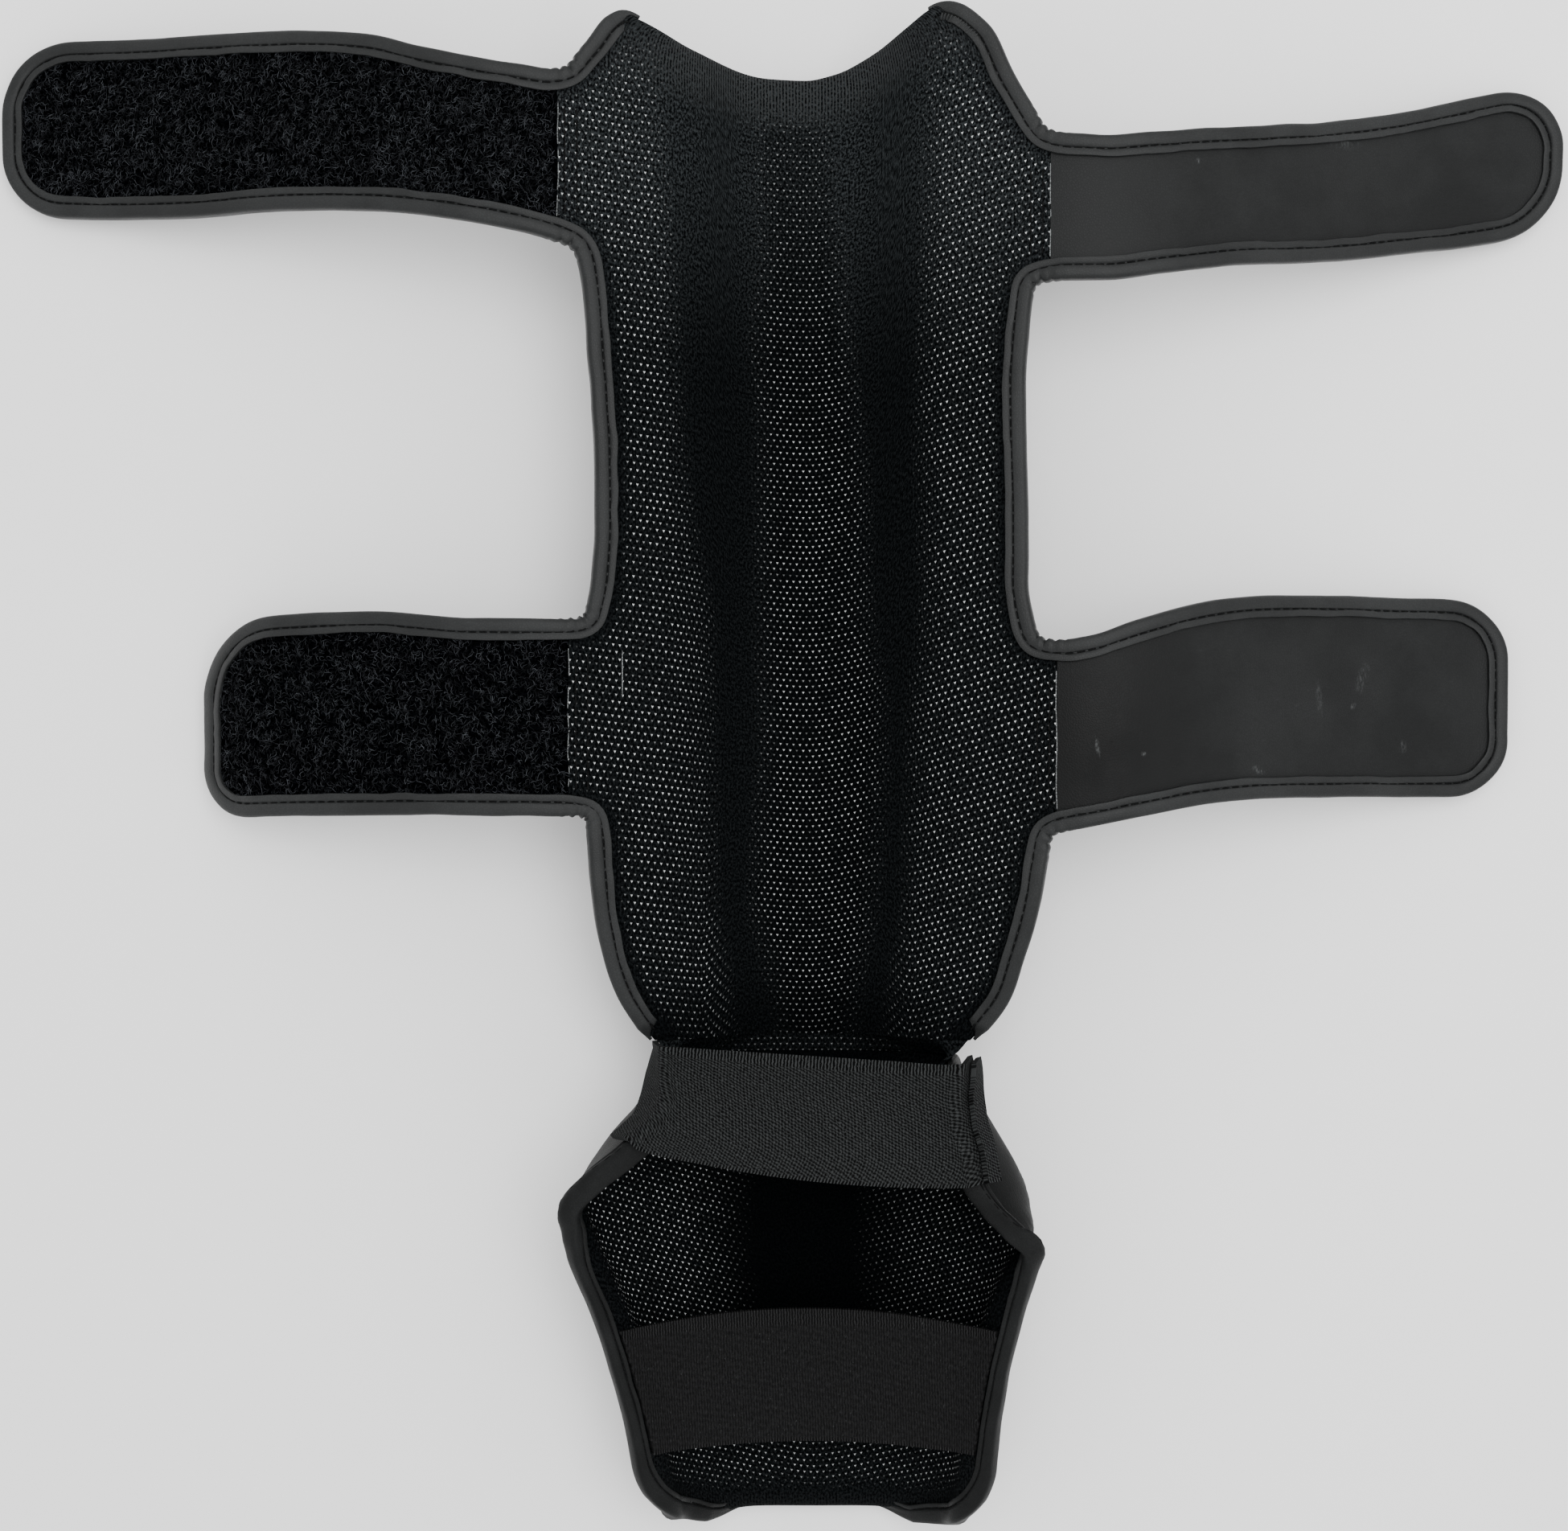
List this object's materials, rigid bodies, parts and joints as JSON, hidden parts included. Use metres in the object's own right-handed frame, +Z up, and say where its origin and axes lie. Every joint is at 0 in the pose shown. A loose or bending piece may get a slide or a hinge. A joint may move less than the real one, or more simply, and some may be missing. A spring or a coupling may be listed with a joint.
{
  "type": "shin and instep guard",
  "caption": "Padded black shin and instep guard for combat sport, lying on its front, with a mesh lining, bound edges, hook and loop calf straps, and elastic ankle and foot bands.",
  "frame": {"origin": "on the floor, in the flat strip of the shin pad's padded front that it rests on", "axes": "+Z up out of the trough that holds the leg, +X across the shin towards the hook straps, +Y along the shin towards the knee"},
  "size_m": [0.4826, 0.4544, 0.0601],
  "materials": {
    "leather_cloth": "smooth matt coated cloth, fine grain",
    "binding": "smooth folded tape with a stitched groove",
    "mesh_lining": "black knit with small bright dots",
    "loop_pile": "short curly black pile",
    "elastic": "ribbed black webbing",
    "hook": "black hook tape"
  },
  "bodies": {
    "root": {"shin_shell": "leather_cloth", "shin_lining": "mesh_lining", "shin_binding_left": "binding", "shin_binding_right": "binding", "strap_upper_left": "leather_cloth", "loop_pile_upper_left": "loop_pile", "strap_lower_left": "leather_cloth", "loop_pile_lower_left": "loop_pile", "strap_upper_right": "leather_cloth", "hook_patch_upper_right": "hook", "strap_lower_right": "leather_cloth", "hook_patch_lower_right": "hook", "ankle_gusset": "leather_cloth", "instep_shell": "leather_cloth", "instep_lining": "mesh_lining", "instep_binding_left": "binding", "instep_binding_right": "binding", "ankle_elastic": "elastic", "ankle_elastic_tab": "elastic", "foot_elastic": "elastic"}
  },
  "joints": []
}
